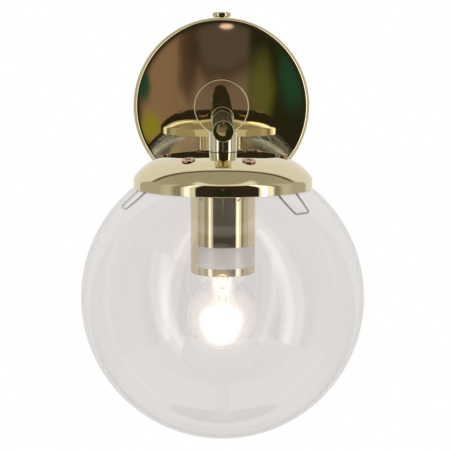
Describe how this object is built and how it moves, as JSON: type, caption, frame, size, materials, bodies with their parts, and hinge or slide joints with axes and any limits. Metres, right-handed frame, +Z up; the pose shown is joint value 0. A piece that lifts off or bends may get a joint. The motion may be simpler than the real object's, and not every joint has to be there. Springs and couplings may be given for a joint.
{
  "type": "globe wall sconce",
  "caption": "Brass wall light: round mirror backplate, long tube arm and a clear glass globe hung from a domed cap by spring clips round a golf-ball bulb.",
  "frame": {"origin": "centre of the wall fixing slots, on the wall plane and the arm's axis", "axes": "+Y into the wall, the arm runs along -Y, +Z up, +X to the right seen from the room"},
  "size_m": [0.175, 0.3325, 0.264],
  "materials": {
    "polished_brass": "mirror polished, pale gold",
    "satin_brass": "fine turned, pale gold",
    "raw_brass": "machined",
    "copper_screw": "darkened copper",
    "zinc_steel": "zinc plated",
    "spring_steel": "drawn wire",
    "nickel_shell": "bright nickel",
    "nickel_wire": "drawn wire",
    "clear_glass": "blown, clear",
    "bulb_clear": "blown, clear",
    "holder_plastic": "moulded, black",
    "terminal_plastic": "moulded, white",
    "black_insulator": "vitrified black",
    "solder": "dull solder",
    "hot_tungsten": "glowing coil",
    "brown_wire": "insulated flex",
    "blue_wire": "insulated flex"
  },
  "bodies": {
    "fixture": {"backplate": "polished_brass", "wall_bracket": "zinc_steel", "terminal_block": "terminal_plastic", "terminal_screws": "zinc_steel", "earth_screw": "zinc_steel", "earth_washer": "zinc_steel", "boss": "satin_brass", "arm_nipple": "raw_brass", "arm_nut": "zinc_steel", "arm_sleeve": "satin_brass", "arm_tube": "satin_brass", "arm_end_cap": "satin_brass", "coupling": "satin_brass", "cap_nut": "zinc_steel", "tube_nut": "zinc_steel", "drop_nipple": "raw_brass", "globe_cap": "polished_brass", "clip_screws": "copper_screw", "clip_nuts": "zinc_steel", "globe_clip_right": "spring_steel", "globe_clip_left": "spring_steel", "globe_clip_rear": "spring_steel", "socket_tube": "satin_brass", "lampholder_cap": "holder_plastic", "lampholder_body": "holder_plastic", "threaded_shell": "raw_brass", "centre_contact": "raw_brass", "wire_live": "brown_wire", "wire_neutral": "blue_wire"},
    "globe": {"glass_globe": "clear_glass"},
    "bulb": {"bulb_glass": "bulb_clear", "bulb_base": "nickel_shell", "bulb_insulator": "black_insulator", "bulb_tip": "solder", "bulb_stem": "bulb_clear", "bulb_leads": "nickel_wire", "bulb_hook": "nickel_wire", "bulb_filament": "hot_tungsten"},
    "top_screw": {"thumb_screw_top": "polished_brass"},
    "bottom_screw": {"thumb_screw_bottom": "polished_brass"}
  },
  "joints": [
    {"name": "globe_pull", "type": "slide", "parent": "fixture", "child": "globe", "axis": [0, 0, -1], "range_m": [0, 0.11], "deforming": ["globe_clip_right", "globe_clip_left", "globe_clip_rear"]},
    {"name": "bulb_turn", "type": "hinge", "parent": "fixture", "child": "bulb", "pos_m": [0, -0.243, -0.1], "axis": [0, 0, 1], "continuous": true},
    {"name": "top_screw_turn", "type": "hinge", "parent": "fixture", "child": "top_screw", "pos_m": [0, -0.012, 0.062], "axis": [0, 0, 1], "continuous": true},
    {"name": "bottom_screw_turn", "type": "hinge", "parent": "fixture", "child": "bottom_screw", "pos_m": [0, -0.012, -0.062], "axis": [0, 0, -1], "continuous": true}
  ]
}
